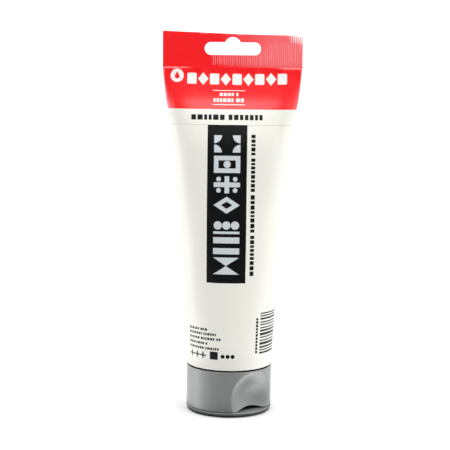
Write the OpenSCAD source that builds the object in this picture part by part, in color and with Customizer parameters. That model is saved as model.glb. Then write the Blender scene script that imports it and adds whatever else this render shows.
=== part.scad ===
// Squeeze tube for thick paint: a plastic sleeve, round at one end and pressed flat at the other,
// welded to a moulded head with a threaded neck, and a wide flip-top cap that it stands on.
// Millimetres. Z is up, the floor is Z = 0 under the closed lid, and the front faces -Y.

/* [Sleeve] */
// Diameter of the round end of the sleeve
tube_d = 50; // [46:1:54]
// Height of the crease where the pressed end begins
crease_z = 195; // [170:1:215]
// Height of the pressed end, measured at its middle
fin_h = 18.5; // [17:0.5:24]
// Wall of the sleeve
wall = 0.5; // [0.4:0.05:0.6]
// Slope of the trimmed top edge, in degrees
trim_slope = 1.4; // [0:0.1:2]
// Spacing of the sealing ribs
rib_pitch = 1.2; // [1:0.1:1.6]
// Depth of the sealing ribs
rib_depth = 0.12; // [0.08:0.01:0.15]

/* [Hanging slot] */
// Width of the slot
slot_w = 31.4; // [28:0.2:34]
// Height of the slot between its straight edges
slot_h = 7.1; // [6:0.1:7.5]
// Width of the bump over the middle of the slot
bump_w = 9.3; // [8:0.1:10]
// Height of the slot's lower edge over the crease
slot_lift = 6.8; // [6:0.1:7.5]

/* [Cap] */
// Height of the closed cap, lid included
cap_h = 26.3; // [25:0.1:30]
// Thickness of the lid at its rim
lid_h = 2.65; // [2.4:0.05:2.8]
// Gap between the lid and the cap
parting = 0.3; // [0.25:0.05:0.4]
// Direction that the thumb dish faces, in degrees from +X
dish_angle = -52; // [-90:1:0]
// Radius of the thumb dish, seen from above
dish_r = 30; // [26:1:34]
// Radius of the thumb dish, seen from the side
dish_round = 18.9; // [17:0.1:20]
// Height of the thumb dish's middle
dish_z = 9.5; // [8.5:0.5:10]
// Depth of the thumb dish
dish_depth = 6; // [4:0.25:6]
// Radius of the pouring hole
spout_r = 2.6; // [2.5:0.1:3]

/* [Screw thread] */
// Rise of the thread in one turn
pitch = 3; // [2.6:0.1:3.4]
// Turns of ridge on the neck and in the cap
turns = 1.5; // [1:0.25:1.5]

/* [Hidden] */
$fn = 96;
tube_r = tube_d / 2;
quarter = PI * tube_d / 4;
cap_r = tube_r - 0.8;
skirt_t = 1.4;
seam = 0.7;
rim_z = cap_h + seam;
loft_z = rim_z + 9.4;
body_z = lid_h + parting;
deck_z = 5;
deck_t = 1.5;
skirt_z = deck_z + deck_t - 0.1;
notch_r = 16.6;
ledge_w = 20;
inner_r = 11.8;
inner_t = 1.5;
inner_top = 20.5;
neck_r = 10.2;
mouth_z = 8.65;
fin_t = 1;
thread_z = 11;
hinge_x = cap_r - 1.15;
hinge_flat = cap_r - 1.6;
hinge_z = body_z - parting / 2;
ring_steps = 16;
paint_steps = 12;

// Shape of the sleeve from the round end (0) to the crease (1): half its depth over the tube's radius.
depth_table = [
    [0.00, 1.000], [0.04, 0.984], [0.09, 0.955], [0.18, 0.908], [0.28, 0.864], [0.37, 0.812],
    [0.465, 0.748], [0.56, 0.676], [0.654, 0.600], [0.73, 0.528], [0.79, 0.424],
    [0.843, 0.312], [0.893, 0.184], [0.937, 0.104], [0.975, 0.044], [1.00, 0.028]
];
last = len(depth_table) - 1;

// ---- Section of the sleeve ----
// Every section keeps the length of the round end's edge. A quarter of it turns through 90 degrees,
// and heading() says how far it has turned at a fraction s of its length: evenly when sharp is 1,
// which is a circle, and mostly at the side when sharp is large, which is nearly flat.
function heading(s, sharp) = 90 * pow(s, sharp);

function total(list, i = 0) = i == len(list) ? 0 : list[i] + total(list, i + 1);

function half_depth(sharp, n = 160) =
    quarter * total([for (i = [0 : n - 1]) sin(heading((i + 0.5) / n, sharp))]) / n;

function sharp_for(depth, low = 1, high = 120, tries = 22) =
    let (middle = sqrt(low * high))
    tries == 0 ? middle
    : half_depth(middle) > depth ? sharp_for(depth, middle, high, tries - 1)
    : sharp_for(depth, low, middle, tries - 1);

function slope(i) =
    let (a = depth_table[max(i - 1, 0)], b = depth_table[min(i + 1, last)])
    i == 0 ? 0 : (b[1] - a[1]) / (b[0] - a[0]);

function segment_of(f, i = 0) = i == last - 1 || f <= depth_table[i + 1][0] ? i : segment_of(f, i + 1);

// Half depth over radius at height fraction f, as a smooth curve through the table.
function depth_at(f) =
    let (
        i = segment_of(f), a = depth_table[i], b = depth_table[i + 1],
        d = b[0] - a[0], t = (f - a[0]) / d
    )
    a[1] * (1 + 2 * t) * pow(1 - t, 2) + b[1] * t * t * (3 - 2 * t)
    + d * (slope(i) * t * pow(1 - t, 2) - slope(i + 1) * t * t * (1 - t));

// Points of a quarter of the section, from the middle of the front to the side, each with its heading.
function step_of(sharp, s0, s1, parts = 8) =
    let (h = (s1 - s0) / parts)
    quarter * h * [
        total([for (i = [0 : parts - 1]) cos(heading(s0 + (i + 0.5) * h, sharp))]),
        total([for (i = [0 : parts - 1]) sin(heading(s0 + (i + 0.5) * h, sharp))])
    ];

function quarter_from(sharp, n, i, at) =
    i > n ? []
    : concat(
        [[at[0], at[1], 90 * i / n]],
        quarter_from(sharp, n, i + 1, at + step_of(sharp, pow(i / n, 1 / sharp), pow((i + 1) / n, 1 / sharp)))
    );

function quarter_points(sharp, n, inset) =
    let (q = quarter_from(sharp, n, 0, [0, 0]), deep = q[n][1])
    [for (p = q) [p[0] - inset * sin(p[2]), p[1] - deep + inset * cos(p[2])]];

function section(f, z, n, inset) =
    let (q = quarter_points(f <= 0 ? 1 : sharp_for(tube_r * depth_at(f)), n, inset))
    concat(
        [for (i = [0 : n - 1]) [q[i][0], q[i][1], z]],
        [for (i = [n : -1 : 1]) [q[i][0], -q[i][1], z]],
        [for (i = [0 : n - 1]) [-q[i][0], -q[i][1], z]],
        [for (i = [n : -1 : 1]) [-q[i][0], q[i][1], z]]
    );

function height_at(f) = loft_z + f * (crease_z - loft_z);

// Triangles between ring k and ring k + 1 of a stack of rings with c points each.
function band(k, c, flip) = [
    for (i = [0 : c - 1])
        let (a = k * c + i, b = k * c + (i + 1) % c)
        each flip ? [[a, b, b + c], [a, b + c, a + c]] : [[a, b + c, b], [a, a + c, b + c]]
];

module loft(levels, inset, n) {
    c = 4 * n;
    rings = len(levels);
    polyhedron(
        points = [for (f = levels) each section(f, height_at(f), n, inset)],
        faces = concat(
            [[for (i = [0 : c - 1]) i]],
            [for (k = [0 : rings - 2]) each band(k, c, false)],
            [[for (i = [c - 1 : -1 : 0]) (rings - 1) * c + i]]
        ),
        convexity = 4
    );
}

// A shell in one piece: up the outside, across the crease, and down the inside from a closed top.
module shell(outside, inside, inset, n) {
    c = 4 * n;
    a = len(outside);
    b = len(inside);
    polyhedron(
        points = concat(
            [for (f = outside) each section(f, height_at(f), n, 0)],
            [for (f = inside) each section(f, height_at(f), n, inset)]
        ),
        faces = concat(
            [for (k = [0 : a - 2]) each band(k, c, false)],
            [[for (i = [c - 1 : -1 : 0]) (a - 1) * c + i]],
            [for (k = [0 : b - 2]) each band(a + k, c, true)],
            [[for (i = [0 : c - 1]) (a + b - 1) * c + i]],
            [for (i = [0 : c - 1]) each
                let (j = (i + 1) % c)
                [[i, j, a * c + j], [i, a * c + j, a * c + i]]]
        ),
        convexity = 6
    );
}

// ---- Screw thread ----
// A helical ridge of one profile, from the wall at radius base to its crest, fading out at both ends.
module ridge(base, root, crest, z0) {
    per_turn = 24;
    steps = round(turns * per_turn);
    fade = 3;
    outward = crest > base;
    polyhedron(
        points = [
            for (i = [0 : steps])
                let (
                    a = 360 * i / per_turn,
                    z = z0 + pitch * i / per_turn,
                    full = min(1, min(i, steps - i) / fade),
                    r = root + (crest - root) * full,
                    w = 0.75 - 0.4 * full
                )
                each [
                    [base * cos(a), base * sin(a), z - 0.75],
                    [r * cos(a), r * sin(a), z - w],
                    [r * cos(a), r * sin(a), z + w],
                    [base * cos(a), base * sin(a), z + 0.75]
                ]
        ],
        faces = concat(
            [outward ? [0, 1, 2, 3] : [3, 2, 1, 0]],
            [for (i = [0 : steps - 1]) each band(i, 4, outward)],
            [[for (k = [0 : 3]) 4 * steps + (outward ? 3 - k : k)]]
        ),
        convexity = 6
    );
}

// ---- Tube ----
module fin_outline() {
    half = quarter - 0.25;
    teeth = floor(2 * half / rib_pitch);
    start = -teeth * rib_pitch / 2;
    edge = [for (i = [0 : 2 * teeth]) [start + i * rib_pitch / 2, fin_t / 2 + (i % 2) * rib_depth]];
    polygon(concat(
        [[-half, fin_t / 2]], edge, [[half, fin_t / 2], [half, -fin_t / 2]],
        [for (i = [2 * teeth : -1 : 0]) [edge[i][0], -edge[i][1]]],
        [[-half, -fin_t / 2]]
    ));
}

module slot_outline() {
    r = slot_h / 2;
    square([slot_w - slot_h, slot_h], center = true);
    for (side = [-1, 1])
        translate([side * (slot_w - slot_h) / 2, 0])
            circle(r = r);
    translate([0, r + 2.9 - bump_w / 2])
        circle(d = bump_w);
}

module fin() {
    difference() {
        translate([0, 0, crease_z - 0.15])
            linear_extrude(height = fin_h + 3)
                fin_outline();
        translate([0, 0, crease_z + slot_lift + slot_h / 2])
            rotate([90, 0, 0])
                linear_extrude(height = 6, center = true)
                    slot_outline();
        translate([0, 0, crease_z + fin_h])
            rotate([0, trim_slope, 0])
                translate([0, 0, 10])
                    cube([3 * tube_d, 8, 20], center = true);
    }
}

module round_end() {
    curl = 0.83;
    rise = 7.4;
    outside = [for (i = [0 : 8]) [tube_r + 0.03 - curl * pow(1 - i / 8, 2), rim_z + rise * i / 8]];
    top = loft_z + 0.1;
    rotate_extrude()
        polygon(concat(
            outside, [[tube_r + 0.03, top], [tube_r + 0.03 - wall - 0.08, top]],
            [for (i = [8 : -1 : 0]) outside[i] - [wall + 0.08, 0]]
        ));
}

module tube_sleeve() {
    outside = [for (i = [0 : 15]) 0.78 * i / 15];
    pressed = [for (i = [1 : 9]) 0.78 + 0.22 * i / 9];
    inside = [for (i = [0 : 11]) 0.78 * i / 11];
    narrow = [0.82, 0.86, 0.89, 0.92, 0.945, 0.962];
    color("ivory") {
        shell(concat(outside, pressed), concat(inside, narrow), wall, ring_steps);
        round_end();
        fin();
    }
}

module tube_head() {
    lip = tube_r - 0.6;
    color("whitesmoke") {
        rotate_extrude()
            polygon([
                [3, mouth_z], [neck_r, mouth_z], [neck_r, 22.4], [lip - 1, rim_z + 0.3],
                [lip - 0.7, rim_z + 0.7], [lip - 0.2, rim_z + 3.9], [lip, rim_z + 7.4],
                [lip - 1, rim_z + 7.4], [lip - 1.2, rim_z + 4.2], [lip - 1.8, rim_z + 1.9],
                [8.2, 23.6], [8.2, 10], [3, 10]
            ]);
        ridge(neck_r - 0.3, neck_r, 11.3, thread_z);
    }
}

// Peel-off membrane over the mouth of the neck.
module foil_seal() {
    color("silver")
        translate([0, 0, mouth_z - 0.2])
            cylinder(r = 8.6, h = 0.15);
}

module paint_fill() {
    lip = tube_r - 0.6;
    color("darkorange") {
        rotate_extrude()
            polygon([
                [0, 10.2], [8.05, 10.2], [8.05, 23.75], [lip - 1.95, rim_z + 2.15],
                [lip - 1.4, rim_z + 4.4], [lip - 1.2, rim_z + 7.7], [tube_r - 0.85, rim_z + 7.9],
                [tube_r - 0.85, loft_z + 0.2], [0, loft_z + 0.2]
            ]);
        loft([for (i = [0 : 12]) 0.85 * i / 12], wall + 0.3, paint_steps);
    }
}

// ---- Cap ----
module facing(angle) {
    rotate([0, 0, angle])
        children();
}

module dish_scoop(extra) {
    facing(dish_angle)
        translate([cap_r - dish_depth + dish_r, 0, dish_z])
            rotate_extrude()
                intersection() {
                    translate([dish_r - dish_round, 0])
                        circle(r = dish_round + extra);
                    translate([0, -tube_d])
                        square(2 * tube_d);
                }
}

// Washer between the mouth of the neck and the cap.
module cap_liner() {
    color("gainsboro")
        translate([0, 0, deck_z + deck_t + 0.2])
            difference() {
                cylinder(r = 9.6, h = 1.5);
                translate([0, 0, -1])
                    cylinder(r = 4, h = 4);
            }
}

module cap_shell() {
    rotate_extrude()
        polygon([
            [cap_r - skirt_t, body_z], [cap_r, body_z], [cap_r, cap_h - 0.25],
            [cap_r - 0.25, cap_h], [cap_r - skirt_t, cap_h], [cap_r - skirt_t, deck_z + deck_t],
            [inner_r + inner_t, deck_z + deck_t], [inner_r + inner_t, inner_top],
            [inner_r, inner_top], [inner_r, deck_z + deck_t], [spout_r, deck_z + deck_t],
            [spout_r, body_z + 0.2], [spout_r + 1.6, body_z + 0.2], [spout_r + 1.6, deck_z],
            [cap_r - skirt_t, deck_z]
        ]);
}

module cap_body() {
    color("dimgray") {
        difference() {
            union() {
                cap_shell();
                for (k = [0 : 7])
                    facing(dish_angle + 22.5 + 45 * k)
                        translate([inner_r + inner_t - 0.3, -0.5, skirt_z])
                            cube([cap_r - inner_r - inner_t - skirt_t + 0.8, 1, 7]);
                intersection() {
                    dish_scoop(1.3);
                    translate([0, 0, body_z])
                        cylinder(r = cap_r - 0.3, h = cap_h - body_z - 1);
                }
                facing(dish_angle + 180)
                    translate([hinge_flat - 1.4, -7.5, body_z])
                        cube([2.2, 15, 6]);
            }
            dish_scoop(0);
            facing(dish_angle)
                translate([cap_r - dish_depth - 2.2, 0, deck_z - 0.05 - notch_r])
                    rotate([0, 90, 0])
                        cylinder(r = notch_r, h = 12);
            facing(dish_angle + 180)
                translate([hinge_flat, -10, body_z - 1])
                    cube([5, 20, 4.6]);
        }
        ridge(inner_r + 0.3, inner_r, 10.75, thread_z + pitch / 2);
    }
}

// Thin straps across the parting line, which bend when the lid opens.
module hinge_strap() {
    color("gray")
        facing(dish_angle + 180)
            for (p = [[-2.6, 5.2], [-6.6, 1.8], [4.8, 1.8]])
                translate([0, p[0] + p[1], 0])
                    rotate([90, 0, 0])
                        linear_extrude(height = p[1])
                            polygon([
                                [hinge_flat + 0.1, hinge_z - 2.2], [hinge_x + 0.3, hinge_z - 2.2],
                                [hinge_x + 0.3, hinge_z - 0.4], [hinge_x + 0.1, hinge_z],
                                [hinge_x + 0.3, hinge_z + 0.4], [hinge_x + 0.3, hinge_z + 2.2],
                                [hinge_flat + 0.1, hinge_z + 2.2], [hinge_flat + 0.1, hinge_z + 0.4],
                                [hinge_x - 0.1, hinge_z], [hinge_flat + 0.1, hinge_z - 0.4]
                            ]);
}

module cap_lid() {
    round_r = 2.2;
    corner = [for (a = [0 : 11.25 : 90]) [cap_r - round_r * (1 - sin(a)), round_r * (1 - cos(a))]];
    color("dimgray")
        difference() {
            union() {
                rotate_extrude()
                    polygon(concat(
                        [[0, 0]],
                        corner,
                        [
                            [cap_r, lid_h], [cap_r - skirt_t, lid_h], [cap_r - skirt_t, 1.5],
                            [spout_r + 3.1, 1.5], [spout_r + 3.1, 3.8], [spout_r + 2.1, 3.8],
                            [spout_r + 2.1, 1.5], [spout_r - 0.5, 1.5], [spout_r - 0.5, 4.8],
                            [spout_r - 0.9, 5.2], [0, 5.2]
                        ]
                    ));
                facing(dish_angle + 180)
                    translate([hinge_flat - 1.4, -7.5, 1.2])
                        cube([2.2, 15, lid_h - 1.2]);
                intersection() {
                    facing(dish_angle)
                        translate([cap_r - dish_depth - 0.6, -ledge_w / 2, 1.2])
                            cube([dish_depth + 1, ledge_w, lid_h - 1.2]);
                    cylinder(r = cap_r - 0.8, h = lid_h);
                }
            }
            facing(dish_angle + 180)
                translate([hinge_flat, -10, -1])
                    cube([5, 20, 6]);
        }
}

tube_sleeve();
tube_head();
foil_seal();
paint_fill();
cap_liner();
cap_body();
hinge_strap();
cap_lid();
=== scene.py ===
"""Paint tube standing on its flip-top cap: the visual model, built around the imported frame.

Geometry is worked out in millimetres and turned into metres when a mesh is made.
The sleeve is one sheet with coordinates (u, z): u is the distance round it from the middle of the front.
"""

import math
import random

import bpy
import numpy as np
from mathutils import Matrix, Vector
from mathutils.geometry import delaunay_2d_cdt


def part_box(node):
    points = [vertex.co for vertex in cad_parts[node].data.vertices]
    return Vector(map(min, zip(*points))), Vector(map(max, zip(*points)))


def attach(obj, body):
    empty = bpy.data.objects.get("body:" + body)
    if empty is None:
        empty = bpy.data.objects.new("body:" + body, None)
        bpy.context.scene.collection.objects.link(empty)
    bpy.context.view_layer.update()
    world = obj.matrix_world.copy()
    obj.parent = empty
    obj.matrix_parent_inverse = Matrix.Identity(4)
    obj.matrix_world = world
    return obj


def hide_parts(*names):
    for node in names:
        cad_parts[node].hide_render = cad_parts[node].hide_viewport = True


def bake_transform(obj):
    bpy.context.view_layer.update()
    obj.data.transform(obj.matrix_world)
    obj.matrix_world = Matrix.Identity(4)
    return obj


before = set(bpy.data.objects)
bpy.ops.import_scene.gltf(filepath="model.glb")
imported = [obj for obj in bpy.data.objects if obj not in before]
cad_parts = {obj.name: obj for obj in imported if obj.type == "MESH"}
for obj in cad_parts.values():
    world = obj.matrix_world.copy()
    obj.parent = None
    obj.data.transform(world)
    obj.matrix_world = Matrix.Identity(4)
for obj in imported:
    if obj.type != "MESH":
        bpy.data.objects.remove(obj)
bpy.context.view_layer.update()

MM = 0.001

# ---------------- sizes, from the frame

sleeve_low, sleeve_high = (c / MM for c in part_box("tube_sleeve"))
cap_low, cap_high = (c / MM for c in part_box("cap_body"))

# sleeve
TUBE_R = sleeve_high.y - 0.03  # a hair inside the CAD's outline
QUARTER = math.pi * TUBE_R / 2  # a quarter of the way round the sheet
RIM_Z = sleeve_low.z + 0.2  # a little above the CAD's rim, so that the seam shows
TUCK, TUCK_H = 0.8, 7.4  # the sheet draws in toward its rim, over this height
LOFT_Z = sleeve_low.z + 9.4  # round up to here, then flatter and flatter
CREASE_Z = sleeve_low.z + 168.0  # where the pressed end begins
WALL = 0.5

# pressed end
FIN_HALF_W = sleeve_high.x
FIN_H = 18.5
FIN_T = 1.0
RIB_PITCH = 1.2
RIB_DEPTH = 0.33

# cap and lid
CAP_R = cap_high.x
CAP_TOP = cap_high.z - 0.1
BODY_Z = cap_low.z  # parting line between the cap and the lid
LID_TOP = BODY_Z - 0.3
LID_FLOOR = 1.5
HINGE_Z = BODY_Z - 0.15
HINGE_FLAT = CAP_R - 1.6  # the flat behind the hinge, and ...
HINGE_X = CAP_R - 1.15  # ... the hinge, from the axis
DISH_DIRECTION = math.radians(-52)
DISH_R = 30.0  # the thumb dish is part of a ring: its radius across ...
DISH_ROUND = 18.9  # ... and its radius up and down
DISH_DEPTH = 6.0
DISH_Z = 9.5
DISH_EDGE = 4.6  # how widely its rim is rounded
NOTCH_R = 16.6  # the arch over the thumb ledge
NOTCH_TOP = 4.95
DECK_Z = 5.0
SPOUT_R = 2.6


# ---------------- mesh helpers

def new_object(name, vertices, faces, materials, face_material=None, normals=None, sharp=None):
    """A mesh object from vertices in mm. normals are one per face corner, sharp is an angle in degrees."""
    mesh = bpy.data.meshes.new(name)
    mesh.from_pydata([tuple(v) for v in np.asarray(vertices, float) * MM], [], faces)
    for material in materials:
        mesh.materials.append(material)
    if face_material is not None:
        mesh.polygons.foreach_set("material_index", np.asarray(face_material, np.int32))
    mesh.polygons.foreach_set("use_smooth", np.ones(len(mesh.polygons), bool))
    mesh.update()
    if sharp is not None:
        mesh.set_sharp_from_angle(angle=math.radians(sharp))
    if normals is not None:
        mesh.normals_split_custom_set([tuple(n) for n in normals])
    mesh.validate()
    obj = bpy.data.objects.new(name, mesh)
    bpy.context.scene.collection.objects.link(obj)
    return obj


def grid_faces(rows, columns, flip=False, wrap=False):
    """Quads of rings of vertices stored one after another. wrap joins the last ring to the first."""
    faces = []
    for r in range(rows if wrap else rows - 1):
        up = columns if r < rows - 1 else -r * columns
        for c in range(columns):
            a = r * columns + c
            b = r * columns + (c + 1) % columns
            quad = (a, b, b + up, a + up)
            faces.append(quad[::-1] if flip else quad)
    return faces


def turned(points, angle):
    """Points turned round the axis."""
    points = np.array(points, float).reshape(-1, 3)
    c, s = math.cos(angle), math.sin(angle)
    points[:, :2] = points[:, :2] @ np.array([[c, s], [-s, c]])
    return points


def subdivided(outline, longest):
    """A closed outline with its sides cut into short steps."""
    fine = []
    for i, a in enumerate(outline):
        b = outline[(i + 1) % len(outline)]
        steps = max(1, math.ceil(math.dist(a, b) / longest))
        fine += [(a[0] + (b[0] - a[0]) * k / steps, a[1] + (b[1] - a[1]) * k / steps) for k in range(steps)]
    return fine


def triangulate(points, edges):
    """Flat points and the triangles between them, cut along the edges and turned the same way round."""
    flat, _, triangles, _, _, _ = delaunay_2d_cdt([Vector(p) for p in points], edges, [], 0, 1e-5, False)
    flat = np.array([tuple(v) for v in flat], float)
    triangles = np.array([t for t in triangles if len(t) == 3], int)
    a, b, c = (flat[triangles[:, k]] for k in range(3))
    area = (b[:, 0] - a[:, 0]) * (c[:, 1] - a[:, 1]) - (c[:, 0] - a[:, 0]) * (b[:, 1] - a[:, 1])
    whole = np.abs(area) > 1e-9
    triangles, area = triangles[whole], area[whole]
    triangles[area < 0] = triangles[area < 0][:, ::-1]
    return flat, triangles


def compacted(points, triangles):
    """The points that the triangles use, and the triangles renumbered to match."""
    used, index = np.unique(triangles, return_inverse=True)
    return points[used], index.reshape(-1, 3)


def smooth_min(a, b, k):
    h = np.clip(0.5 + 0.5 * (b - a) / k, 0, 1)
    return b * (1 - h) + a * h - k * h * (1 - h)


def smooth_step(x, low, high):
    t = np.clip((x - low) / (high - low), 0, 1)
    return t * t * (3 - 2 * t)


# ---------------- shape of the sleeve

DEPTH_TABLE = np.array([
    (0.00, 1.000), (0.04, 0.984), (0.09, 0.955), (0.18, 0.908), (0.28, 0.864), (0.37, 0.812),
    (0.465, 0.748), (0.56, 0.676), (0.654, 0.600), (0.73, 0.528), (0.79, 0.424),
    (0.843, 0.312), (0.893, 0.184), (0.937, 0.104), (0.975, 0.044), (1.00, 0.028),
])


def half_depth(z):
    """Half of the sleeve's depth at height z: a smooth curve through the table."""
    f = np.clip((z - LOFT_Z) / (CREASE_Z - LOFT_Z), 0, 1)
    xs, ys = DEPTH_TABLE.T
    slopes = np.zeros(len(xs))
    slopes[1:-1] = (ys[2:] - ys[:-2]) / (xs[2:] - xs[:-2])
    slopes[-1] = (ys[-1] - ys[-2]) / (xs[-1] - xs[-2])
    i = np.clip(np.searchsorted(xs, f) - 1, 0, len(xs) - 2)
    d = xs[i + 1] - xs[i]
    t = (f - xs[i]) / d
    return TUBE_R * (
        ys[i] * (1 + 2 * t) * (1 - t) ** 2
        + ys[i + 1] * t * t * (3 - 2 * t)
        + d * (slopes[i] * t * (1 - t) ** 2 - slopes[i + 1] * t * t * (1 - t))
    )


class Sleeve:
    """Maps (u, z) on the sheet to a point. Every section keeps the length of the round end's edge, and
    turns evenly when sharp is 1, which is a circle, and mostly at the sides when sharp is large."""

    LEVELS = 640
    STEPS = 1600

    def __init__(self):
        sharps = np.exp(np.linspace(0, math.log(160), 400))
        depths = np.array([self.quarter(s)[1][-1] for s in sharps])
        self.levels = np.linspace(RIM_Z, CREASE_Z, self.LEVELS)
        wanted = half_depth(self.levels)
        level_sharps = np.exp(np.interp(-wanted, -depths, np.log(sharps)))
        self.x = np.zeros((self.LEVELS, self.STEPS + 1))
        self.y = np.zeros((self.LEVELS, self.STEPS + 1))
        for k, (z, sharp) in enumerate(zip(self.levels, level_sharps)):
            x, y = self.quarter(1.0 if z <= LOFT_Z else sharp)
            scale = 1.0
            if z < RIM_Z + TUCK_H:
                scale = 1 - TUCK / TUBE_R * (1 - (z - RIM_Z) / TUCK_H) ** 2
            self.x[k] = x * scale
            self.y[k] = (y - y[-1]) * scale

    def quarter(self, sharp):
        s = (np.arange(self.STEPS) + 0.5) / self.STEPS
        heading = 0.5 * math.pi * s ** sharp
        x = np.concatenate([[0], np.cumsum(np.cos(heading))]) * QUARTER / self.STEPS
        y = np.concatenate([[0], np.cumsum(np.sin(heading))]) * QUARTER / self.STEPS
        return x, y

    def smooth_points(self, u, z):
        """Points of the plain sheet, u from -2 quarters to 2 quarters."""
        u = (u + 2 * QUARTER) % (4 * QUARTER) - 2 * QUARTER
        side = np.sign(u)
        back = np.abs(u) > QUARTER
        along = np.where(back, 2 * QUARTER - np.abs(u), np.abs(u)) / QUARTER * self.STEPS
        level = np.clip((z - RIM_Z) / (CREASE_Z - RIM_Z), 0, 1) * (self.LEVELS - 1)
        i = np.clip(along.astype(int), 0, self.STEPS - 1)
        k = np.clip(level.astype(int), 0, self.LEVELS - 2)
        fi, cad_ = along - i, level - k

        def sample(table):
            return (
                (table[k, i] * (1 - fi) + table[k, i + 1] * fi) * (1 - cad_)
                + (table[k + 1, i] * (1 - fi) + table[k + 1, i + 1] * fi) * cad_
            )

        x, y = sample(self.x), sample(self.y)
        return np.stack([side * x, np.where(back, -y, y), z], axis=-1)

    def raw_normals(self, function, u, z, du=0.12, dz=0.25):
        z0, z1 = np.maximum(z - dz, RIM_Z), np.minimum(z + dz, CREASE_Z)
        across = function(u + du, z) - function(u - du, z)
        up = function(u, z1) - function(u, z0)
        n = np.cross(across, up)
        return n / np.maximum(np.linalg.norm(n, axis=-1, keepdims=True), 1e-12)

    def relief(self, u, z):
        """How far the sheet stands off its plain shape: faint creases under the pressed end, and soft dents."""
        down = CREASE_Z - z
        # the sheet stands fuller just under the crease's two ends
        corner = smooth_step(np.abs(u), 16, 34) * (1 - smooth_step(np.abs(u), QUARTER - 1.6, QUARTER - 0.2))
        shoulder = 0.75 * corner * (1 - np.exp(-down / 0.9)) * np.exp(-down / 13)
        # upright creases that fade downward
        fade = smooth_step(down, 0, 4) * np.exp(-down / 22)
        ripple = 0.20 * np.sin(u * 0.42 + 0.9) + 0.13 * np.sin(u * 0.83 + 2.1) + 0.07 * np.sin(u * 1.35 + 0.4)
        # shallow dents in the middle
        body = smooth_step(down, 8, 40) * smooth_step(z, RIM_Z + 8, RIM_Z + 30)
        dents = 0.16 * np.sin(u * 0.11 + z * 0.052 + 0.6) * np.sin(z * 0.071 + 1.3)
        dents += 0.07 * np.sin(u * 0.23 - z * 0.09 + 2.0)
        return fade * ripple + body * dents + shoulder

    def points(self, u, z):
        base = self.smooth_points(u, z)
        normals = self.raw_normals(self.smooth_points, u, z)
        return base + normals * self.relief(u, z)[..., None]

    def normals(self, u, z):
        return self.raw_normals(self.points, u, z)


sleeve = Sleeve()

# ---------------- materials

class Graph:
    """A small helper that wires up one material's nodes."""

    def __init__(self, name):
        self.material = bpy.data.materials.new(name)
        self.material.use_nodes = True
        self.nodes = self.material.node_tree.nodes
        self.links = self.material.node_tree.links
        self.nodes.clear()
        output = self.add("ShaderNodeOutputMaterial")
        self.bsdf = self.add("ShaderNodeBsdfPrincipled")
        self.link(self.bsdf.outputs["BSDF"], output, "Surface")
        self.place = self.add("ShaderNodeTexCoord").outputs["Object"]

    def add(self, kind, **settings):
        node = self.nodes.new(kind)
        for key, value in settings.items():
            setattr(node, key, value)
        return node

    def set(self, node, **inputs):
        for key, value in inputs.items():
            node.inputs[key.replace("_", " ")].default_value = value

    def link(self, output, node, socket):
        self.links.new(output, node.inputs[socket])

    def noise(self, scale, detail=3.0, stretch=(1, 1, 1), roughness=0.55):
        """Noise of about 1000 / scale mm."""
        mapping = self.add("ShaderNodeMapping")
        mapping.inputs["Scale"].default_value = stretch
        self.link(self.place, mapping, "Vector")
        node = self.add("ShaderNodeTexNoise")
        self.set(node, Scale=scale, Detail=detail, Roughness=roughness)
        self.link(mapping.outputs["Vector"], node, "Vector")
        return node.outputs["Fac"]

    def ramp(self, value, low, high, low_at=0.3, high_at=0.7):
        node = self.add("ShaderNodeMapRange")
        self.set(node, From_Min=low_at, From_Max=high_at, To_Min=low, To_Max=high)
        self.link(value, node, "Value")
        return node.outputs["Result"]

    def mix_colour(self, factor, a, b):
        node = self.add("ShaderNodeMix", data_type="RGBA")
        node.inputs[6].default_value = (*a, 1)
        node.inputs[7].default_value = (*b, 1)
        self.link(factor, node, 0)
        return node.outputs[2]

    def bump(self, height, strength, distance):
        node = self.add("ShaderNodeBump")
        self.set(node, Strength=strength, Distance=distance)
        self.link(height, node, "Height")
        self.link(node.outputs["Normal"], self.bsdf, "Normal")


def moulded(name, light, dark, rough, grain=0.02, grain_scale=2500, coat=0.0, sheen_scale=60, **bsdf):
    """Plastic, ink or paint: a colour that drifts between two shades, with uneven gloss and a fine surface."""
    g = Graph(name)
    drift = g.ramp(g.noise(sheen_scale, 4), 0, 1)
    g.link(g.mix_colour(drift, light, dark), g.bsdf, "Base Color")
    wear = g.noise(sheen_scale * 6, 5, roughness=0.7)
    g.link(g.ramp(wear, rough * 0.85, rough * 1.2), g.bsdf, "Roughness")
    g.bump(g.noise(grain_scale, 2), grain, 0.0002)
    if coat:
        g.set(g.bsdf, Coat_Weight=coat, Coat_Roughness=0.12)
    g.set(g.bsdf, **bsdf)
    return g.material


sleeve_white = moulded(
    "sleeve_white", (0.815, 0.815, 0.750), (0.800, 0.800, 0.730), 0.34, coat=0.25, Subsurface_Weight=0.08,
)
sleeve_bsdf = sleeve_white.node_tree.nodes["Principled BSDF"]
sleeve_bsdf.inputs["Subsurface Radius"].default_value = (0.004, 0.0035, 0.003)
red_ink = moulded("red_ink", (0.98, 0.010, 0.014), (0.96, 0.008, 0.012), 0.32, coat=1.0)
# painted highlights for the pressed end's rib crests: pale red along the ribs, nearly white at the bent corner
crest_highlight_red = moulded("crest_highlight_red", (0.98, 0.27, 0.29), (0.96, 0.21, 0.23), 0.36, coat=0.4)
corner_highlight_red = moulded("corner_highlight_red", (0.96, 0.72, 0.72), (0.95, 0.62, 0.63), 0.40, coat=0.3)
white_ink = moulded("white_ink", (0.90, 0.89, 0.86), (0.88, 0.87, 0.84), 0.32, coat=0.3)
black_ink = moulded("black_ink", (0.003, 0.004, 0.004), (0.005, 0.005, 0.006), 0.32, Specular_IOR_Level=0.3)
grey_ink = moulded("grey_ink", (0.57, 0.62, 0.64), (0.55, 0.60, 0.62), 0.34, coat=0.3)
faint_ink = moulded("faint_ink", (0.55, 0.55, 0.52), (0.52, 0.52, 0.49), 0.34, coat=0.3)
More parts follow.
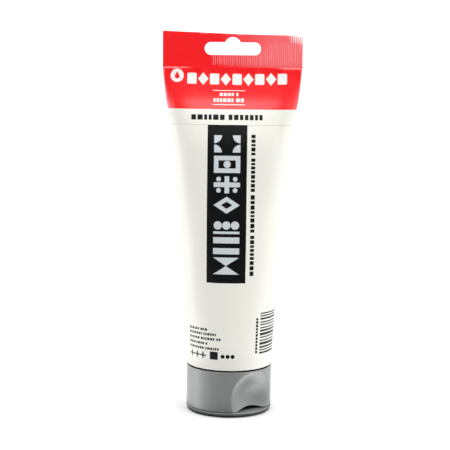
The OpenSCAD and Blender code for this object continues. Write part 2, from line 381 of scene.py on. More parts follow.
cut_edge = moulded("cut_edge", (0.84, 0.83, 0.78), (0.78, 0.77, 0.72), 0.5, grain=0.3)
cap_plastic = moulded(
    "cap_plastic", (0.214, 0.222, 0.217), (0.200, 0.208, 0.204), 0.34, grain_scale=1800, Specular_IOR_Level=1.0,
)
head_plastic = moulded("head_plastic", (0.030, 0.031, 0.031), (0.024, 0.025, 0.025), 0.38)
liner_foam = moulded("liner_foam", (0.78, 0.78, 0.74), (0.70, 0.70, 0.66), 0.8, grain=0.6, grain_scale=1500)
paint_white = moulded("paint_white", (0.86, 0.86, 0.84), (0.83, 0.83, 0.81), 0.18, grain=0.05, grain_scale=400)
foil = moulded("foil", (0.78, 0.78, 0.78), (0.70, 0.70, 0.70), 0.30, grain=0.25, grain_scale=600, Metallic=1.0)

# ---------------- print on the sleeve
# The print is plain shapes only. Each shape is a closed outline on the sheet and an ink, later ones on top.

SLEEVE_INKS = [sleeve_white, red_ink, white_ink, black_ink, grey_ink, faint_ink]
PLAIN, RED, WHITE, BLACK, GREY, FAINT = range(6)
BAND_Z = CREASE_Z - 23.0


def rectangle(u0, u1, z0, z1):
    return [(u0, z0), (u1, z0), (u1, z1), (u0, z1)]


def arc(u, z, r, start, end, steps):
    """Points along an arc, between two directions in degrees."""
    turns = [math.radians(start + (end - start) * i / steps) for i in range(steps + 1)]
    return [(u + r * math.cos(a), z + r * math.sin(a)) for a in turns]


def rounded(u0, u1, z0, z1, r, steps=5):
    points = []
    left, right, low, high = u0 + r, u1 - r, z0 + r, z1 - r
    for cu, cz, start in ((right, low, -90), (right, high, 0), (left, high, 90), (left, low, 180)):
        points += arc(cu, cz, r, start, start + 90, steps)
    return points


def disc(u, z, r, start=0, end=360, steps=28):
    points = arc(u, z, r, start, end, max(4, round(steps * (end - start) / 360)))
    return points[:-1] if end - start >= 360 else points


def blocks(start, end, base, height, ink, rng, words=(5, 8), upright=False):
    """A line of small plain blocks in groups, where the object has small print. upright: up the sleeve."""
    shapes = []
    at, left = start, rng.randint(*words)
    while True:
        across = height * rng.uniform(0.55, 1.1)
        if at + across > end:
            break
        if upright:
            shapes.append((rectangle(base, base + height, at, at + across), ink))
        else:
            shapes.append((rectangle(at, at + across, base, base + height), ink))
        at += across + height * 0.28
        left -= 1
        if left <= 0:
            at += height * 0.5
            left = rng.randint(*words)
    return shapes


def band_row(middle):
    """The row of white forms in the red band: squares and diamonds in turn."""
    sag = 0.5
    shapes = []
    for k in range(9):
        u = middle + (k - 4) * 6.3
        z = at_height(188.9) - sag * (1 - (u - middle) ** 2 / 900)
        if k % 2:
            shapes.append(([(u - 2.9, z), (u, z - 3.5), (u + 2.9, z), (u, z + 3.5)], WHITE))
        else:
            shapes.append((rounded(u - 2.6, u + 2.6, z - 3.0, z + 3.0, 0.7, 3), WHITE))
    return shapes


def drop_mark(u, z):
    """A white disc with a red drop."""
    drop = [(u, z + 2.3)] + disc(u, z - 0.5, 1.35, 150, 390, 24)
    return [(disc(u, z, 3.7), WHITE), (drop, RED)]


def panel_forms(u0, u1, places):
    """Seven plain forms down the dark panel, each in its own stretch of height."""
    uc, w = (u0 + u1) / 2, (u1 - u0)
    shapes = []

    def add(outline, ink=GREY):
        shapes.append((outline, ink))

    for kind, (z0, z1) in enumerate(places):
        zc, h = (z0 + z1) / 2, z1 - z0
        if kind == 0:
            add([(u0, z0), (u1, z0), (uc, zc)])
            add([(u0, z1), (uc, zc + 0.01), (u1, z1)])
        elif kind == 1:
            add(rectangle(u0, u1, z0, z0 + 3.4))
            add(rectangle(u0, u1, z1 - 3.4, z1))
        elif kind == 2:
            for k in range(3):
                add(disc(u0 + 2.5 + k * (w - 5.0) / 2, zc, 2.3, steps=32))
            add(rectangle(u0, u1, z0, z0 + 1.4))
        elif kind == 3:
            add([(u0, zc), (uc, z0), (u1, zc), (uc, z1)])
            add([(u0 + 4.2, zc), (uc, z0 + 2.7), (u1 - 4.2, zc), (uc, z1 - 2.7)], BLACK)
        elif kind == 4:
            add(rectangle(u0, u1, zc - 1.3, zc + 1.3))
            add(rectangle(uc - 1.3, uc + 1.3, z0, z1))
            for su, sz in ((-1, -1), (-1, 1), (1, -1), (1, 1)):
                add(disc(uc + su * 4.6, zc + sz * 3.1, 1.3))
        elif kind == 5:
            add(rectangle(u0, u1, z0, z1))
            add(rectangle(u0 + 2.5, u1 - 2.5, z0 + 2.5, z1 - 2.5), BLACK)
            add(disc(uc, zc, 2.0))
        else:
            for su, sz, start in ((-1, -1, 0), (1, -1, 90), (1, 1, 180), (-1, 1, 270)):
                corner = (uc + su * w / 2, zc + sz * h / 2)
                add([corner] + disc(*corner, h * 0.46, start, start + 90, 32))
    return shapes


def at_height(z):
    """Heights of the print are counted with the crease at 195."""
    return CREASE_Z - 195 + z


def bar(u0, u1, z0, z1, ink):
    """A rectangle of print, its heights counted like at_height's."""
    return [(rectangle(u0, u1, at_height(z0), at_height(z1)), ink)]


def front_print():
    rng = random.Random(11)
    shapes = band_row(2.6) + drop_mark(-30.9, at_height(190.2))
    # two short lines between two rules
    for z in (182.0, 174.3):
        shapes += bar(-10.8, 7.0, z, z + 0.4, WHITE)
    shapes += blocks(-7.0, 4.0, at_height(179.2), 1.7, WHITE, rng, (3, 4))
    shapes += blocks(-10.4, 7.0, at_height(176.0), 1.9, WHITE, rng)
    # bold line under the band
    shapes += blocks(-22.6, 18.2, at_height(166.2), 2.9, BLACK, rng, (6, 8))
    # thin line round the front, and the dark panel
    shapes += bar(-36.0, 36.0, 163.38, 163.60, FAINT)
    shapes += bar(-13.4, 8.6, 76.4, 163.5, BLACK)
    places = [(at_height(81.3 + 11.2 * k), at_height(90.7 + 11.2 * k)) for k in range(7)]
    shapes += panel_forms(-9.7, 4.9, places)
    # upright line beside it
    shapes += blocks(at_height(80.4), at_height(159.8), 10.9, 2.3, BLACK, rng, (7, 9), True)
    # lower left: five short lines, three crosses, a square and three dots
    for end, z in ((-12.9, 49.0), (-6.4, 46.5), (-4.6, 43.9), (-11.7, 41.2), (-5.7, 38.5)):
        shapes += blocks(-26.4, end, at_height(z + 0.2), 1.35, BLACK, rng)
    for k in range(3):
        u, z = -24.2 + 4.3 * k, at_height(35.3)
        shapes += [(rectangle(u - 2.0, u + 2.0, z - 0.4, z + 0.4), BLACK)]
        shapes += [(rectangle(u - 0.45, u + 0.45, z - 1.9, z + 1.9), BLACK)]
    shapes += bar(-11.1, -6.4, 33.4, 37.9, BLACK)
    for k in range(3):
        shapes += [(disc(-3.6 + 2.8 * k, at_height(35.4), 1.15), BLACK)]
    # stack of bars at the lower right, with an upright line beside it
    z, top = at_height(35.8), at_height(59.2)
    while z < top:
        thick = rng.choice((0.75, 0.75, 1.1, 1.5))
        shapes += [(rectangle(18.4, 33.6, z, z + thick), BLACK)]
        z += thick + rng.choice((0.7, 0.7, 1.0))
    shapes += blocks(at_height(36.5), at_height(57.5), 15.5, 1.5, BLACK, rng, (10, 11), True)
    return shapes


def back_print():
    """The back: the same row of forms, then a block of small lines."""
    rng = random.Random(23)
    middle = 2 * QUARTER
    shapes = [([(u + middle, z) for u, z in outline], ink) for outline, ink in band_row(0.0)]
    shapes += bar(middle - 20, middle + 20, 158.8, 160.0, BLACK)
    for k in range(15):
        z = at_height(153.0 - 3.6 * k)
        shapes += blocks(middle - 20, middle + rng.uniform(8, 20), z, 1.3, BLACK, rng)
    shapes += bar(middle - 20, middle + 20, 96.5, 96.9, FAINT)
    for k in range(5):
        z = at_height(91.0 - 3.6 * k)
        shapes += blocks(middle - 20, middle + rng.uniform(2, 16), z, 1.3, FAINT, rng)
    for k in range(3):
        u, z = middle - 12 + 12 * k, at_height(60)
        shapes.append((rounded(u - 4, u + 4, z - 4, z + 4, 1.0), BLACK))
        shapes.append((disc(u, z, 1.2 + 0.8 * k), PLAIN))
    return shapes


def inside(outline, u, z):
    """Which of the points lie inside the outline."""
    hit = np.zeros(len(u), bool)
    n = len(outline)
    for i in range(n):
        (ua, za), (ub, zb) = outline[i], outline[(i + 1) % n]
        if za == zb:
            continue
        crosses = (za > z) != (zb > z)
        hit ^= crosses & (u < (ub - ua) * (z - za) / (zb - za) + ua)
    return hit


def graded(stops):
    """Values from stops of (value, spacing up to the next stop)."""
    out = []
    for (a, step), (b, _) in zip(stops, stops[1:]):
        n = max(1, round((b - a) / step))
        out += [a + (b - a) * i / n for i in range(n)]
    return np.array(out + [stops[-1][0]])


def sheet_columns():
    """Distances round the sleeve, from the back's middle, close together where the sides turn sharply."""
    half = graded([
        (0, 1.3), (QUARTER - 5, 0.6), (QUARTER - 2, 0.25), (QUARTER - 0.75, 0.125),
        (QUARTER + 0.75, 0.25), (QUARTER + 2, 0.6), (QUARTER + 5, 1.3), (2 * QUARTER, 1),
    ])
    return np.concatenate([-half[:0:-1], half])


def sheet_rows():
    """Heights up the sleeve, closer together near the rim and the crease."""
    return graded([
        (RIM_Z, 1.0), (RIM_Z + 10, 1.5), (CREASE_Z - 30, 1.0), (CREASE_Z - 8, 0.7), (CREASE_Z - 2, 0.4),
        (CREASE_Z, 1),
    ])


def make_sheet():
    """Triangles of the outer sheet, cut along every outline of the print: (u, z), triangles, ink of each."""
    shift = 2 * QUARTER  # the sheet's ends meet down one side of the back, clear of the print
    seam = -2 * QUARTER + 30.0
    columns = sheet_columns()
    columns = np.sort(np.where(columns < seam - 1e-9, columns + 2 * shift, columns))
    columns = np.unique(np.round(np.concatenate([columns, [seam, seam + 2 * shift]]), 6))
    keep = np.ones(len(columns), bool)
    keep[1:-1] = (np.diff(columns)[1:] > 0.06) | (np.diff(columns)[:-1] > 0.06)
    columns = columns[keep]
    rows = sheet_rows()
    rows = rows[np.abs(rows - BAND_Z) > 0.3]

    shapes = [(rectangle(seam, seam + 2 * shift, BAND_Z, CREASE_Z), RED)]
    shapes += front_print() + back_print()

    points, edges = [], []

    def add_path(path, closed=True):
        first = len(points)
        points.extend(path)
        n = len(path)
        edges.extend((first + i, first + (i + 1) % n) for i in range(n if closed else n - 1))

    add_path([(u, BAND_Z) for u in columns], closed=False)
    for outline, _ in shapes[1:]:
        add_path(subdivided(outline, 1.5))

    # the plain grid's points, without those close to a line of the print
    grid = np.array([(u, z) for z in rows for u in columns])
    gu, gz = grid.T.copy()
    border = np.isin(gu, columns[[0, -1]]) | np.isin(gz, rows[[0, -1]])
    clear = np.ones(len(grid), bool)
    xy = np.array(points)
    for a, b in edges:
        p, q = xy[a], xy[b]
        near = (gu > min(p[0], q[0]) - 0.5) & (gu < max(p[0], q[0]) + 0.5)
        near &= (gz > min(p[1], q[1]) - 0.5) & (gz < max(p[1], q[1]) + 0.5)
        if not near.any():
            continue
        d = q - p
        g = grid[near] - p
        t = np.clip((g @ d) / max(d @ d, 1e-12), 0, 1)
        clear[np.flatnonzero(near)] &= np.linalg.norm(g - t[:, None] * d, axis=1) > 0.3
    points.extend(map(tuple, grid[clear | border]))

    uz, triangles = triangulate(points, edges)
    centre = uz[triangles].mean(axis=1)
    ink = np.zeros(len(triangles), int)
    for outline, colour in shapes:
        o = np.array(outline)
        box = np.all((centre > o.min(0)) & (centre < o.max(0)), axis=1)
        index = np.flatnonzero(box)
        ink[index[inside(outline, centre[index, 0], centre[index, 1])]] = colour
    # the two ends of the sheet are one line of vertices
    left = {round(z, 4): i for i, (u, z) in enumerate(uz) if abs(u - columns[0]) < 1e-4}
    same = np.arange(len(uz))
    for i, (u, z) in enumerate(uz):
        if abs(u - columns[-1]) < 1e-4:
            same[i] = left[round(z, 4)]
    uz, triangles = compacted(uz, same[triangles])
    return uz, triangles, ink


def make_skin():
    """The sleeve up to the crease: the printed outside, the rim and the inside, as one closed mesh."""
    uz, triangles, ink = make_sheet()
    outer = sleeve.points(uz[:, 0], uz[:, 1])
    outer_normals = sleeve.normals(uz[:, 0], uz[:, 1])

    def ring(z):
        on = np.flatnonzero(np.abs(uz[:, 1] - z) < 1e-4)
        return on[np.argsort(uz[on, 0])]

    rim, crease = ring(RIM_Z), ring(CREASE_Z)
    faces = [tuple(t) for t in triangles]
    materials = list(ink)
    normals = list(outer_normals[triangles].reshape(-1, 3))

    def add_flat(face, points, material=PLAIN):
        p = np.array([points[i] for i in face])
        n = np.zeros(3)
        for i in range(len(p)):
            n += np.cross(p[i], p[(i + 1) % len(p)])
        n /= max(np.linalg.norm(n), 1e-12)
        faces.append(tuple(int(i) for i in face))
        materials.append(material)
        normals.extend([n] * len(face))

    # inside of the sleeve, from its rim up to just under the crease
    u = uz[rim, 0]
    heights = np.concatenate([[RIM_Z + 0.02], np.linspace(RIM_Z + 4, CREASE_Z - 9, 18)])
    layers, layer_normals = [], []
    for z in heights:
        zs = np.full(len(u), z)
        n = sleeve.raw_normals(sleeve.smooth_points, u, zs)
        layers.append(sleeve.smooth_points(u, zs) - n * (WALL + 0.05))
        layer_normals.append(-n)
    points = np.concatenate([outer] + layers)
    first = len(outer)
    n = len(u)
    for i in range(n):
        j = (i + 1) % n
        add_flat((rim[i], first + i, first + j, rim[j]), points)
    for k in range(len(layers) - 1):
        for i in range(n):
            j = (i + 1) % n
            a, b = first + k * n + i, first + k * n + j
            faces.append((a, a + n, b + n, b))
            materials.append(PLAIN)
            low, high = layer_normals[k], layer_normals[k + 1]
            normals.extend([low[i], high[i], high[j], low[j]])
    add_flat(tuple(first + (len(layers) - 1) * n + i for i in range(n))[::-1], points)
    add_flat(tuple(crease), points, RED)
    return new_object("tube_skin", points, faces, SLEEVE_INKS, materials, normals)


# ---------------- pressed end with its ribs and slot

def slot_outline():
    """The hanging slot: a long hole with round ends, and a round bump over its middle."""
    lift, height, width, bump, rise = 6.8, 7.1, 31.4, 9.3, 2.9
    r, b = height / 2, bump / 2
    z0 = CREASE_Z + lift
    zc, zb = z0 + r, z0 + height + rise - b
    turn = math.degrees(math.asin((z0 + height - zb) / b))
    right, left = arc(width / 2 - r, zc, r, -90, 90, 16), arc(r - width / 2, zc, r, 90, 270, 16)
    return right + arc(0, zb, b, turn, 180 - turn, 14) + left


def pressed_red():
    """Red ink, with a painted highlight that turns it a little paler over the right half."""
    red, painted_highlight, highlight_from, highlight_to = (1.00, 0.011, 0.015), (0.98, 0.145, 0.160), 0.0, 30.0 * MM
    g = Graph("pressed_red")
    split = g.add("ShaderNodeSeparateXYZ")
    g.link(g.place, split, "Vector")
    uneven = g.add("ShaderNodeMath", operation="MULTIPLY_ADD")
    g.link(g.noise(90, 4), uneven, 0)
    uneven.inputs[1].default_value = 16.0 * MM
    g.link(split.outputs["X"], uneven, 2)
    # blend toward the paler red: a painted highlight over the right half
    g.link(g.mix_colour(g.ramp(uneven.outputs[0], 0, 1, highlight_from, highlight_to), red, painted_highlight), g.bsdf, "Base Color")
    g.link(g.ramp(g.noise(400, 5), 0.31, 0.40), g.bsdf, "Roughness")
    g.bump(g.noise(2500, 2), 0.02, 0.0002)
    g.set(g.bsdf, Coat_Weight=0.35, Coat_Roughness=0.12)
    return g.material


def make_fin():
    """The pressed end: a flat sheet with its slot, its sealing ribs and a bent corner."""
    bottom = CREASE_Z - 0.3
    slope = math.tan(math.radians(1.4))

    def top(x):
        return CREASE_Z + FIN_H - x * slope + 0.45 * (x / FIN_HALF_W) ** 2

    xs = np.arange(-FIN_HALF_W, FIN_HALF_W + 1e-9, (2 * FIN_HALF_W) / 390)
    rows = 13
    slot = subdivided(slot_outline(), 0.4)
    points = list(slot)
    edges = [(i, (i + 1) % len(slot)) for i in range(len(slot))]
    hole = np.array(slot)
    for r in range(rows + 1):
        for x in xs:
            z = bottom + (top(x) - bottom) * r / rows
            inner = r not in (0, rows) and 0 < np.abs(x) < 17.5
            if inner and np.min(np.hypot(hole[:, 0] - x, hole[:, 1] - z)) < 0.22:
                continue
            points.append((x, z))
    xz, triangles = triangulate(points, edges)
    centre = xz[triangles].mean(axis=1)
    xz, triangles = compacted(xz, triangles[~inside(slot, centre[:, 0], centre[:, 1])])

    x, z = xz.T
    up = (z - CREASE_Z) / FIN_H
    ribs = 1 - np.abs(np.sin(math.pi * x / RIB_PITCH))
    ribs_end = 7.0 + 6.0 * smooth_step(x, 14, 24)
    low_part = smooth_step(z - CREASE_Z, 0.8, 1.8) * (1 - smooth_step(z - CREASE_Z, ribs_end, ribs_end + 2.5))
    low_part = low_part * smooth_step(x, -16, -8)
    corner = smooth_step(x, 29, 33) * smooth_step(z - CREASE_Z, 8, 12)
    strength = RIB_DEPTH * np.maximum(low_part, corner) * (0.75 + 0.25 * np.sin(x * 1.9 + z * 0.3))
    edge = np.minimum(FIN_HALF_W - np.abs(x), top(x) - z)
    thick = FIN_T / 2 - 0.12 * (1 - smooth_step(edge, 0, 0.35)) + ribs * strength
    warp = 0.5 * smooth_step(up, 0, 1) * (np.sin(x * 0.045 + 0.5) - 0.4 * np.sin(x * 0.11 + 2.0))
    # the right-hand top corner is bent back
    past = np.maximum((x - 31.5) * 0.62 + (z - CREASE_Z - 15.5) * 0.78, 0)
    warp = warp + 0.085 * past ** 2
    front = np.stack([x, warp - thick, z - 0.02 * past ** 2], axis=-1)
    back = np.stack([x, warp + thick, z - 0.02 * past ** 2], axis=-1)
    n = len(xz)
    sides = [(int(t[i]), int(t[(i + 1) % 3])) for t in triangles for i in range(3)]
    known = set(sides)
    border = [(i, j) for i, j in sides if (j, i) not in known]
    faces = [tuple(int(i) for i in t) for t in triangles]
    faces += [tuple(int(i) + n for i in t[::-1]) for t in triangles]
    # the ribs' crests get painted highlights: pale red where the ribs catch the light, and nearly white at the
    # bent corner
    middle = xz[triangles].mean(axis=1)
    on_crest = np.abs((middle[:, 0] / RIB_PITCH + 0.5) % 1 - 0.5) * RIB_PITCH < 0.2
    highlit_crest = on_crest & (strength[triangles].mean(axis=1) > 0.35 * RIB_DEPTH)
    highlit_corner = smooth_step(middle[:, 0], 28, 35) * smooth_step(middle[:, 1] - CREASE_Z, 11, 16) > 0.5
    painted_highlight = highlit_crest * 2
    painted_highlight[on_crest & highlit_corner] = 3
    inks = list(painted_highlight) + list(painted_highlight)
    for i, j in border:
        faces.append((j, i, i + n, j + n))
        inks.append(1)
    materials = [pressed_red(), cut_edge, crest_highlight_red, corner_highlight_red]
    return new_object("tube_fin", np.concatenate([front, back]), faces, materials, inks, sharp=50)


# ---------------- cap

def angles_from(direction, angle):
    """The angle counted from a direction, between minus and plus half a turn."""
    return (angle - direction + math.pi) % (2 * math.pi) - math.pi


def dish_surface(angle, z, extra=0.0):
    """Distance from the axis to the ring surface that shapes the thumb dish."""
    centre = CAP_R - DISH_DEPTH + DISH_R
    rise = np.sqrt(np.maximum((DISH_ROUND + extra) ** 2 - (z - DISH_Z) ** 2, 0))
    reach = DISH_R - DISH_ROUND + rise
    turn = angles_from(DISH_DIRECTION, angle)
    left = reach ** 2 - (centre * np.sin(turn)) ** 2
    cuts = (left > 0) & (np.abs(turn) < 1.2) & (rise > 0)
    return np.where(cuts, centre * np.cos(turn) - np.sqrt(np.maximum(left, 0)), 99.0)


def hinge_flat(angle, flat):
    """Distance from the axis to the flat behind the hinge."""
    turn = angles_from(DISH_DIRECTION + math.pi, angle)
    return np.where(np.abs(turn) < 1.2, flat / np.maximum(np.cos(turn), 0.3), 99.0)


def cap_columns():
    """Directions round the cap, closer together at the dish and the hinge."""
    dish, hinge = math.degrees(DISH_DIRECTION), math.degrees(DISH_DIRECTION) + 180
    stops = [(dish - 34, 0.6), (dish + 34, 2.0), (hinge - 26, 0.8), (hinge + 26, 2.0), (dish + 326, 1)]
    return np.radians(graded(stops)[:-1])


def skirt_outer(angle, z):
    """The cap's outside: round, with the dish and the hinge's recess cut in."""
    r = smooth_min(np.full_like(z, CAP_R), dish_surface(angle, z), DISH_EDGE)
    recess = 1 - smooth_step(z, BODY_Z + 3.3, BODY_Z + 3.8)
    flat = smooth_min(r, hinge_flat(angle, HINGE_FLAT), 0.25)
    return r * (1 - recess) + flat * recess


def skirt_inner(angle, z):
    """The cap's inside, which follows the outside at a wall's thickness."""
    r = smooth_min(np.full_like(z, CAP_R - 1.4), dish_surface(angle, z, 1.25), 0.8)
    block = 1 - smooth_step(z, BODY_Z + 5.6, BODY_Z + 6.2)
    flat = smooth_min(r, hinge_flat(angle, HINGE_FLAT - 1.4), 0.25)
    return r * (1 - block) + flat * block


def skirt_bottom(angle):
    """Height of the skirt's lower edge: it lifts over the lid's lip in the thumb dish."""
    turn = angles_from(DISH_DIRECTION, angle)
    across = (CAP_R - DISH_DEPTH) * np.sin(turn)
    arch = np.sqrt(np.maximum(NOTCH_R ** 2 - across ** 2, 0)) - NOTCH_R + NOTCH_TOP - BODY_Z
    return BODY_Z + np.where(np.abs(turn) < 1, np.maximum(arch, 0), 0)


def make_skirt():
    """The cap's wall. Its top edge slopes inward, which leaves the dark seam under the sleeve."""
    columns = cap_columns()

    def ring(radius_function, t, inset, rise):
        low = skirt_bottom(columns)
        z = low + t * (CAP_TOP - low)
        r = radius_function(columns, z) + inset
        return np.stack([r * np.cos(columns), r * np.sin(columns), z + rise], axis=-1)

    edge, top = 0.22, 0.2  # roundings of the lower and the upper edge
    outer = [(0, -edge, 0), (0, -edge * 0.3, edge * 0.3)]
    heights = graded([(0, 0.012), (0.06, 0.0165), (0.72, 0.03), (1.0, 1)])
    outer += [(t, 0, 0) for t in heights if 0.012 <= t <= 0.985]
    outer += [(1, 0, -top), (1, -top * 0.3, -top * 0.3), (1, -top, 0)]
    inner = [(1, 0.15, -0.6), (1, 0, -0.8)] + [(t, 0, 0) for t in np.linspace(0.95, 0.03, 24)]
    inner += [(0, 0, 0.15), (0, 0.15, 0)]
    rings = [ring(skirt_outer, *place) for place in outer] + [ring(skirt_inner, *place) for place in inner]
    faces = grid_faces(len(rings), len(columns), wrap=True)
    return new_object("cap_skirt", np.concatenate(rings), faces, [cap_plastic], sharp=60)


def lathe(profile, columns, radius, closed=True):
    """Vertices and faces of a profile of (r, z) turned round the axis. radius(angle, r, z) pulls points in."""
    angles = np.linspace(0, 2 * math.pi, columns, endpoint=False)
    rings = []
    for r, z in profile:
        zs = np.full(columns, float(z))
        rs = radius(angles, np.full(columns, float(r)), zs)
        rings.append(np.stack([rs * np.cos(angles), rs * np.sin(angles), zs], axis=-1))
    return np.concatenate(rings), grid_faces(len(profile), columns, wrap=closed)


def rounded_profile(points, steps=4):
    """The profile with its corners rounded: points are (r, z, radius of the corner)."""
    out = []
    n = len(points)
    for i, p in enumerate(points):
        a = np.array(points[i - 1][:2], float)
        b = np.array(p[:2], float)
        c = np.array(points[(i + 1) % n][:2], float)
        if p[2] <= 0:
            out.append(tuple(b))
            continue
        ab, cb = a - b, c - b
        la, lc = np.linalg.norm(ab), np.linalg.norm(cb)
        cut = min(p[2], la * 0.45, lc * 0.45)
        p0, p1 = b + ab / la * cut, b + cb / lc * cut
        for k in range(steps + 1):
            t = k / steps
            out.append(tuple((1 - t) ** 2 * p0 + 2 * t * (1 - t) * b + t * t * p1))
    return out


def ridge_mesh(base, root, crest, z0, pitch=3.0, turns=1.5, per_turn=64):
    """A helical screw ridge on an inner wall. It fades out at both ends."""
    steps = round(turns * per_turn)
    foot, fade = 0.75, 8
    rings = []
    for i in range(steps + 1):
        a = 2 * math.pi * i / per_turn
        z = z0 + pitch * i / per_turn
        full = min(1.0, min(i, steps - i) / fade)
        r = root + (crest - root) * full
        w = foot - 0.4 * full
        section = ((base, z - foot), (r, z - w), (r, z + w), (base, z + foot))
        rings.append([(q * math.cos(a), q * math.sin(a), h) for q, h in section])
    faces = grid_faces(steps + 1, 4, flip=True)
    faces += [(3, 2, 1, 0), tuple(4 * steps + k for k in range(4))]
    return np.array(rings).reshape(-1, 3), faces


def join(parts):
    """One list of vertices and one of faces from several."""
    vertices, faces = [], []
    for v, f in parts:
        start = sum(len(p) for p in vertices)
        vertices.append(v)
        faces += [tuple(i + start for i in face) for face in f]
    return np.concatenate(vertices), faces


def box_mesh(low, high, turn):
    """A box that is turned round the axis."""
    xs, ys, zs = zip(low, high)
    corners = turned([(x, y, z) for z in zs for y in ys for x in xs], turn)
    return corners, [(0, 2, 3, 1), (4, 5, 7, 6), (0, 1, 5, 4), (2, 6, 7, 3), (0, 4, 6, 2), (1, 3, 7, 5)]


def make_deck():
    """The floor inside the cap, with the spout below it and the threaded skirt and ribs above it."""
    thick, thread_r, thread_top = 1.5, 11.8, 20.5
    top = DECK_Z + thick
    outer_r = thread_r + thick
    spout_low = BODY_Z + 0.2
    profile = rounded_profile([
        (CAP_R - 1.0, DECK_Z, 0), (SPOUT_R + 1.6, DECK_Z, 0.5), (SPOUT_R + 1.6, spout_low, 0.25),
        (SPOUT_R, spout_low, 0.25), (SPOUT_R, top, 0.3), (thread_r, top, 0.4), (thread_r, thread_top, 0.3),
        (outer_r, thread_top, 0.3), (outer_r, top, 0.4), (CAP_R - 1.0, top, 0),
    ])

    def follow(angle, r, z):
        wall = skirt_inner(angle, np.full_like(z, DECK_Z + thick / 2)) + 0.35
        return np.where(r > CAP_R - 1.5, np.minimum(r, wall), r)

    parts = [lathe(profile[::-1], 192, follow)]
    parts.append(ridge_mesh(thread_r + 0.3, thread_r, 10.75, 12.5))
    for k in range(8):
        turn = DISH_DIRECTION + math.radians(22.5 + 45 * k)
        reach = min(CAP_R - 1.1, float(skirt_inner(np.array([turn]), np.array([top + 3.0]))[0]) + 0.3)
        parts.append(box_mesh((outer_r - 0.3, -0.5, top - 0.1), (reach, 0.5, top + 7), turn))
    vertices, faces = join(parts)
    return new_object("cap_deck", vertices, faces, [cap_plastic], sharp=40)


def make_ledge():
    """The ledge under the thumb dish, which the thumb pushes on."""
    half, bevel, low = 10.0, 0.2, LID_FLOOR - 0.1
    inner = CAP_R - DISH_DEPTH - 0.6
    steps = np.linspace(-half, half, 41)
    rings = []
    for y in steps:
        outer = math.sqrt((CAP_R - 0.8) ** 2 - y * y)
        edge = [(inner, low), (inner, LID_TOP - bevel), (inner + bevel, LID_TOP), (outer, LID_TOP)]
        rings.append([(r, y, z) for r, z in edge + [(outer, low)]])
    vertices = turned(rings, DISH_DIRECTION)
    faces = grid_faces(len(steps), 5, flip=True)
    faces += [tuple(range(5)), tuple(5 * (len(steps) - 1) + i for i in range(5))[::-1]]
    return vertices, faces


def make_lid():
    """The flip-top lid: its flat outer face is what the tube stands on."""
    corner, side = 2.2, CAP_R - 0.05
    # the outer face, with the mark of the mould's gate in its middle and a fine ring
    profile = [(0.0001, 0.12), (1.0, 0.12), (1.25, 0.28), (1.6, 0.28), (1.9, 0.05), (2.2, 0.0)]
    profile += [(19.4, 0.0), (19.6, 0.18), (20.0, 0.18), (20.2, 0.0)]
    for i in range(9):
        a = math.radians(90 * i / 8)
        profile.append((side - corner + corner * math.sin(a), corner - corner * math.cos(a)))
    # over the side's top edge and down to the inner face
    profile += [(side, 2.35), (CAP_R - 0.12, 2.55), (CAP_R - 0.3, LID_TOP), (CAP_R - 1.25, LID_TOP)]
    profile += [(CAP_R - 1.4, LID_TOP - 0.15), (CAP_R - 1.4, LID_FLOOR + 0.3), (CAP_R - 1.7, LID_FLOOR)]
    profile += [(CAP_R - 3.9, LID_FLOOR)]
    # the ring that fits round the spout, then the plug: (distance from the spout's radius, height)
    profile += [(SPOUT_R + r, z) for r, z in (
        (4.0, LID_FLOOR), (3.4, LID_FLOOR), (3.1, LID_FLOOR + 0.3), (3.1, 3.6), (2.95, 3.8), (2.25, 3.8),
        (2.1, 3.6), (2.1, LID_FLOOR + 0.2), (1.9, LID_FLOOR), (-0.3, LID_FLOOR), (-0.5, LID_FLOOR + 0.2),
        (-0.5, 4.6), (-0.6, 4.95), (-0.9, 5.2),
    )]
    profile += [(0.0001, 5.2)]

    def recess(angle, r, z):
        outside = r > HINGE_FLAT - 1.45
        low = smooth_step(z, 0.02, 0.2)
        flat = smooth_min(r, hinge_flat(angle, HINGE_FLAT), 0.25)
        outer = r * (1 - low) + flat * low
        inner = smooth_min(r, hinge_flat(angle, HINGE_FLAT - 1.4), 0.25)
        wall = (r < CAP_R - 1.2) & (z > LID_FLOOR - 0.1)
        return np.where(~outside, r, np.where(wall, inner, outer))

    parts = [lathe(profile, 288, recess, closed=False), make_ledge()]
    vertices, faces = join(parts)
    return new_object("cap_flip_lid", vertices, faces, [cap_plastic], sharp=48)


def make_hinge():
    """Three thin straps across the parting line, thinnest at the lid's joint."""
    out = []
    reach, web_half = 2.2, 0.32
    for name, y0, wide in (("middle", -2.6, 5.2), ("left", -6.6, 1.8), ("right", 4.8, 1.8)):
        ys = np.linspace(y0, y0 + wide, 7)
        zs = np.linspace(HINGE_Z - reach, HINGE_Z + reach, 45)
        rings = []
        for z in zs:
            web = np.exp(-(((z - HINGE_Z) / web_half) ** 2))
            end = np.clip(1 - (reach - abs(z - HINGE_Z)) / 0.25, 0, 1) * 0.1
            inner = HINGE_FLAT + 0.08 + 0.27 * web + end
            outer = HINGE_X + 0.30 - 0.20 * web - end
            rings.append([(outer, y, z) for y in ys] + [(inner, y, z) for y in ys[::-1]])
        vertices = turned(rings, DISH_DIRECTION + math.pi)
        n = 2 * len(ys)
        faces = grid_faces(len(zs), n)
        faces.append(tuple(range(n))[::-1])
        faces.append(tuple((len(zs) - 1) * n + i for i in range(n)))
        out.append(new_object("hinge_web_" + name, vertices, faces, [cap_plastic], sharp=50))
    return out


# ---------------- put it together

skin = make_skin()
fin = make_fin()
for piece in (skin, fin):
    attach(piece, "tube")
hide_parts("tube_sleeve")
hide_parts("tube_sleeve")

skirt = make_skirt()
deck = make_deck()
for piece in (skirt, deck):
    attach(piece, "cap")
    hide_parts("cap_body")

lid = make_lid()
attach(lid, "lid")
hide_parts("cap_lid")

for web in make_hinge():
    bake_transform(web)
    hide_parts("hinge_strap")

